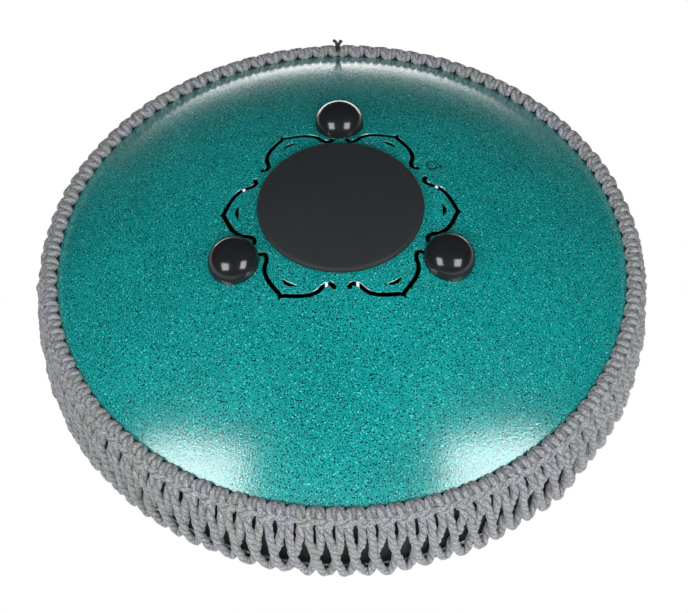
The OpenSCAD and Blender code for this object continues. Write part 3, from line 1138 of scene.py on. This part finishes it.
@dataclass
class CordCover:
    """The knotted cotton cover round the waist, on the base's side of the seam.

    A knot's marks are in seen_point's terms, and a strand's in cover_point's.
    """

    sizes: DrumSizes
    tree: CordTree
    cotton: Material
    brown: Material
    cord_r: float = 2.4
    wrap_r: float = 2.72
    edge_h: float = 19.6
    look_angle: float = 52.7
    knot_rise: float = 1.6
    lay_length: float = -17.0
    ply_depth: float = 0.17
    sides: int = 12
    seed: int = 4
    wander: float = 4.6
    knot_wander: float = 1.3
    wander_size: float = 12.0
    step: float = 1.0
    strand_step: float = 1.05
    knot_half: tuple[Point3, ...] = (
        (2.0, 122.6, 124.6), (2.25, 119.8, 126.4), (2.38, 117.4, 128.6), (2.42, 115.4, 129.9),
        (2.6, 114.3, 129.1), (3.3, 114.0, 127.2), (4.4, 115.2, 125.6), (4.95, 117.0, 125.9),
        (4.6, 118.3, 127.6), (3.2, 119.1, 129.0), (1.6, 119.5, 129.4))
    knot_middle: Point3 = (0, 119.6, 129.5)
    strand_over: tuple[Point3, ...] = (
        (2.0, 28.5, 1.6), (2.2, 21.5, 2.9), (2.9, 13.5, 3.5), (3.8, 6.0, 4.3), (5.1, -1.5, 5.0),
        (6.5, -8.0, 4.8), (7.9, -13.6, 4.3))
    under_heights: tuple[float, ...] = (3.4, 2.6, 2.2, 2.2, 2.4, 2.6, 1.6)
    bend_half: float = 1.3
    bend_rise: float = 0.5
    bend_heights: Point = (4.0, 3.8)
    holding_r: float = 0.7
    holding_lay: float = 4.0
    holding_sides: int = 6
    wrap_angle: float = 40.0
    wrap_reach: float = 4.75
    edge_gap: float = 0.15
    ring_ends: Point = (0.15, 359.85)
    ring_steps: int = 700
    tie_cord_r: float = 1.1
    tie_sides: int = 9
    tie_wander: float = 0.5
    tie_step: float = 0.5
    tie_turns: int = 4
    tie_turn_steps: int = 14
    tie_r: float = 1.95
    tie_start: float = -0.9
    tie_pitch: float = 0.35
    tie_tails: tuple[tuple[Point3, ...], ...] = (
        ((-0.6, 1.6, 1.6), (-1.6, 3.2, 3.25), (-2.6, 4.6, 4.25)),
        ((0.7, 1.6, 1.6), (1.5, 3.4, 3.45), (1.9, 5.2, 3.85)))

    def lay(self, name: str, lines: Sequence[Sequence[Point3]], slot: Slot,
            nodes: Sequence[str], changes: dict[str, Any]) -> None:
        """Lay a row of cords round the drum, with changes to the named inputs."""
        s = self.sizes
        start = 90 + (360 - s.knots * s.knot_angle) / 2 + s.knot_angle / 2
        values = {"Count": s.knots, "Pitch Angle": math.radians(s.knot_angle),
                  "Start Angle": math.radians(start), "Cord Radius": self.cord_r * MM,
                  "Ply Depth": self.ply_depth, "Lay Length": self.lay_length * MM,
                  "Sides": self.sides, "Wander": self.wander * MM,
                  "Wander Size": self.wander_size * MM, "Seed": self.seed,
                  "Cotton": self.cotton}
        made = self.tree.lay(name, lines, {**values, **changes})
        hand_over(made, Body.DRUM, slot, *nodes)

    def seen_point(self, s: float, v: float, w: float) -> Point3:
        """Place a knot's point by what the photograph shows at the front.

        Args:
            s: Distance round the drum from the unit's middle.
            v: Distance down the picture.
            w: Distance towards the camera.

        Returns:
            The point in the row frame, with the unit's middle on +X.
        """
        look = math.radians(self.look_angle)
        return self.sizes.round_point(s, v * math.sin(look) + w * math.cos(look),
                                      w * math.sin(look) - v * math.cos(look))

    def knot_line(self) -> list[Point3]:
        """Centreline of one knot: under the bar, over the holding cord, behind, and the bar."""
        left = [(-s, v, w) for s, v, w in reversed(self.knot_half)]
        return catmull([self.seen_point(s, v - self.knot_rise, w)
                        for s, v, w in [*self.knot_half, self.knot_middle, *left]], self.step)

    def strand_line(self) -> list[Point3]:
        """Centreline of a strand: down, over its neighbour, round the edge, and back under."""
        pitch = math.radians(self.sizes.knot_angle) * self.sizes.backing_r
        under = [(2 * pitch - s, p, h)
                 for (s, p, _), h in zip(reversed(self.strand_over), self.under_heights)]
        bottom = -self.edge_h + self.cord_r + self.bend_rise
        bend = [(pitch + way * self.bend_half, bottom, h)
                for way, h in zip((-1, 1), self.bend_heights)]
        return catmull([self.sizes.cover_point(-s, p, h)
                        for s, p, h in [*self.strand_over, *bend, *under]],
                       self.step * self.strand_step)

    def ring_line(self, p: float, h: float) -> list[Point3]:
        """Centreline of a thin cord round the drum."""
        start, end = self.ring_ends
        angles = (start + (end - start) * i / self.ring_steps for i in range(self.ring_steps + 1))
        return [self.sizes.cover_point(math.radians(a) * self.sizes.backing_r, p, h)
                for a in angles]

    def tie_lines(self, wrap_p: float) -> list[list[Point3]]:
        """Centrelines of the tie's turns round the holding cord and of its two tails."""
        reach = self.wrap_reach
        times = (i / self.tie_turn_steps for i in range(self.tie_turns * self.tie_turn_steps + 1))
        turns = [(self.tie_pitch * t + self.tie_start, wrap_p + self.tie_r * math.cos(TAU * t),
                  reach + self.tie_r * math.sin(TAU * t)) for t in times]
        tails = [[(s, wrap_p + p, reach + h) for s, p, h in tail] for tail in self.tie_tails]
        return [catmull([self.sizes.cover_point(*mark) for mark in line], self.tie_step)
                for line in [turns, *tails]]

    def build(self) -> None:
        """Lay the knots, strands, thin cords and the tie."""
        s = self.sizes
        self.lay("cord_knots", [self.knot_line()], Slot.COTTON_CORD, ("knot_wraps", "knot_bars"),
                 {"Cord Radius": self.wrap_r * MM, "Wander": self.knot_wander * MM})
        self.lay("cord_strands", [self.strand_line()], Slot.COTTON_CORD,
                 ("left_strands", "right_strands"), {})

        one = {"Count": 1, "Start Angle": math.pi / 2, "Lay Length": self.holding_lay * MM}
        thin = {**one, "Cord Radius": self.holding_r * MM, "Sides": self.holding_sides,
                "Wander": 0.0}
        wrap_p = s.wall_h + math.radians(self.wrap_angle) * (s.shoulder_r + s.backing_t)
        rings = (("knot_cord", wrap_p, self.wrap_reach),
                 ("edge_cord", -self.edge_h + 2 * self.cord_r, self.holding_r + self.edge_gap))
        for name, p, h in rings:
            self.lay(name, [self.ring_line(p, h)], Slot.COTTON_CORD, (name,), thin)
        self.lay("cover_tie", self.tie_lines(wrap_p), Slot.BROWN_CORD, ("cover_tie",),
                 {**one, "Cord Radius": self.tie_cord_r * MM, "Sides": self.tie_sides,
                  "Wander": self.tie_wander * MM, "Cotton": self.brown})


# ---- scene


@dataclass(frozen=True)
class Lamp:
    """One area lamp that looks at the drum.

    Its direction runs from the drum's middle in the row frame. Distance and size are metres.
    Hidden_from names the kind of ray that doesn't see it.
    """

    name: str
    direction: Point3
    distance: float
    size: Point
    watts: float
    hidden_from: str = ""


SOFTBOX: Point = (0.62, 0.82)
LAMPS = (
    # Two softboxes for the highlights at the front, and their softer wash.
    Lamp("gloss_left", (0.55, -0.52, -0.56), 1.4, SOFTBOX, 14, "diffuse"),
    Lamp("wash_left", (0.55, -0.52, -0.56), 1.41, SOFTBOX, 8.5, "glossy"),
    Lamp("gloss_right", (-0.55, -0.52, -0.56), 1.4, SOFTBOX, 14, "diffuse"),
    Lamp("wash_right", (-0.55, -0.52, -0.56), 1.41, SOFTBOX, 8.5, "glossy"),
    # A long strip for the far rim, and two fills under the base that leave no highlight.
    Lamp("sweep_behind", (0.0, 0.96, 0.28), 1.6, (2.4, 0.5), 12),
    Lamp("fill_front", (0.0, -0.78, -0.62), 1.5, (0.8, 0.5), 22, "glossy"),
    Lamp("fill_back", (0.0, 0.45, -0.9), 1.5, (1.2, 0.8), 3, "glossy"),
    # Light on the playing face, for the other views.
    Lamp("key_over", (-0.5, -0.6, 0.8), 1.5, (1.0, 1.0), 12),
    Lamp("fill_over", (0.7, 0.2, 0.8), 1.6, (1.0, 1.0), 12),
)


@dataclass
class Studio:
    """Camera, lamps, world and the one-sided floor."""

    sizes: DrumSizes
    elevation: float = 53.86
    roll: float = -0.97
    unit: float = 163.27
    offset: Point3 = (-0.00907, -0.1815, 5.089)
    lens_px: float = 1433.0
    width_px: int = 688
    sensor: float = 36.0
    clip_m: Point = (0.01, 50.0)
    gloss_stops: Stops = ((0.48, 0.03), (0.54, 0.2), (0.58, 0.6), (0.63, 1.0))
    soft_stops: Stops = ((0.3, 0.1), (0.55, 0.22))
    floor_half_m: float = 4.0
    paper: tuple[str, str] = ("#eceded", "#f1f2f2")
    paper_mm: float = 300.0

    def axes(self) -> tuple[Vector, Vector, Vector]:
        """Right, down and forward directions of the camera in the row frame."""
        e, roll = math.radians(self.elevation), math.radians(self.roll)
        right = Vector((-1, 0, 0))
        down = Vector((0, -math.sin(e), math.cos(e)))
        forward = Vector((0, math.cos(e), math.sin(e)))
        c, s = math.cos(roll), math.sin(roll)
        return right * c - down * s, right * s + down * c, forward

    def camera(self) -> None:
        """Place the camera where the photograph was taken."""
        right, down, forward = self.axes()
        rim = Vector((0, 0, self.sizes.seam_z - self.sizes.dome_height(self.sizes.meet_r)))
        place = rim - (right * self.offset[0] + down * self.offset[1]
                       + forward * self.offset[2]) * self.unit
        data = bpy.data.cameras.new("photo_camera")
        data.sensor_width = self.sensor
        data.lens = self.lens_px * self.sensor / self.width_px
        data.clip_start, data.clip_end = self.clip_m
        camera = linked("photo_camera", data)
        turn = Matrix((right, -down, -forward)).transposed().to_4x4()
        camera.matrix_world = Matrix.Translation(place * MM) @ turn
        bpy.context.scene.camera = camera

    def hang(self, lamp: Lamp) -> None:
        """Hang one lamp, level with the camera's picture."""
        data = bpy.data.lights.new(lamp.name, "AREA")
        data.shape = "RECTANGLE"
        data.size, data.size_y = lamp.size
        data.energy = lamp.watts
        made = linked(lamp.name, data)
        way = Vector(lamp.direction).normalized()
        side = self.axes()[1].cross(way).normalized()
        turn = Matrix((side, way.cross(side), way)).transposed().to_4x4()
        place = Vector((0, 0, self.sizes.seam_z * MM)) + way * lamp.distance
        made.matrix_world = Matrix.Translation(place) @ turn
        if lamp.hidden_from:
            setattr(made, "visible_" + lamp.hidden_from, False)

    def world(self) -> None:
        """Make a white world for the eye, and for light a white table with a dim room over it.

        The photographed drum lies upside down on white, so white fills the directions over
        the playing face, and the dim room those under the base.
        """
        world = bpy.data.worlds.new("pale_studio")
        bpy.context.scene.world = world
        world.use_nodes = True
        tree = world.node_tree
        tree.nodes.clear()
        path = add(tree, "ShaderNodeLightPath").outputs
        seen = maths(tree, "MAXIMUM", path["Is Camera Ray"], path["Is Transmission Ray"])
        where = add(tree, "ShaderNodeTexCoord").outputs["Generated"]
        height = add(tree, "ShaderNodeSeparateXYZ", inputs={0: where}).outputs["Z"]
        lifted = maths(tree, "MULTIPLY_ADD", height, 0.5, 0.5)
        gloss = ramp(tree, lifted, self.gloss_stops)
        soft = ramp(tree, lifted, self.soft_stops)
        part = mixed(tree, path["Is Glossy Ray"], soft, gloss)
        colour = mixed(tree, seen, part, (1, 1, 1, 1))
        back = add(tree, "ShaderNodeBackground", inputs={"Color": colour, "Strength": 1.0})
        add(tree, "ShaderNodeOutputWorld", inputs={"Surface": back.outputs[0]})

    def floor(self) -> None:
        """Lay the pale floor. Its underside lets the eye and the lamps through to the base."""
        mesh = bpy.data.meshes.new("floor")
        half = self.floor_half_m
        mesh.from_pydata([(-half, -half, 0), (half, -half, 0), (half, half, 0), (-half, half, 0)],
                         [], [(0, 1, 2, 3)])
        floor = linked("floor", mesh)
        made, tree = new_material("pale_floor")
        path = add(tree, "ShaderNodeLightPath").outputs
        back = add(tree, "ShaderNodeNewGeometry").outputs["Backfacing"]
        unseen = maths(tree, "SUBTRACT", 1.0, path["Is Camera Ray"])
        tone = mixed(tree, object_noise(tree, self.paper_mm), *map(linear, self.paper))
        paper = add(tree, "ShaderNodeBsdfDiffuse", inputs={"Color": tone}).outputs[0]
        through = add(tree, "ShaderNodeBsdfTransparent").outputs[0]
        both = add(tree, "ShaderNodeMixShader", inputs={
            0: maths(tree, "MAXIMUM", back, unseen), 1: paper, 2: through})
        add(tree, "ShaderNodeOutputMaterial", inputs={"Surface": both.outputs[0]})
        mesh.materials.append(made)

    def build(self) -> None:
        """Set up camera, lamps, world, floor and the view."""
        self.camera()
        for lamp in LAMPS:
            self.hang(lamp)
        self.world()
        self.floor()
        bpy.context.scene.view_settings.view_transform = "Standard"


def dress(node: Object, material: Material) -> None:
    """Give a CAD node that stays in view its material."""
    node.data.materials.clear()
    node.data.materials.append(material)


def main() -> None:
    """Build the drum's pieces in order, then the studio."""
    logging.basicConfig(level=logging.INFO, format="%(name)s: %(message)s")
    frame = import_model()
    weld_low, weld_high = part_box("seam_weld")
    sizes = DrumSizes(seam_z=(weld_low.z + weld_high.z) / 2 / MM)

    coat, primer_and_shade, cut = (finish.material() for finish in (PowderCoat(), PRIMER_AND_SHADE, CUT_EDGE))
    base = PressedShell("base_shell", "bottom_shell", -1, sizes)
    LotusCuts().apply(base)
    base.build(coat, primer_and_shade, cut)
    KeyLetter().build(sizes, primer_and_shade)
    playing = PressedShell("playing_face", "playing_shell", 1, sizes)
    TongueCuts().apply(playing)
    playing.build(coat, primer_and_shade, cut)
    dress(frame["nodes"]["seam_weld"], WELD.material())
    band = BAND.material()
    dress(frame["nodes"]["rim_band"], band)
    # Two black rings of painted shade along the cover's knots and loops.
    ShadeRings(sizes).build(band)

    ResonancePlug(sizes).build(PLUG.material())
    gloss = FOOT.material()
    for place, angle in zip(("back", "left", "right"), sizes.foot_angles):
        RubberFoot(sizes).build(f"rubber_foot_{place}", f"foot_{place}", angle, gloss)
    CordCover(sizes, CordTree(), GREY_COTTON.material(), BROWN_COTTON.material()).build()

    Studio(sizes).build()


if __name__ == "__main__":
    main()
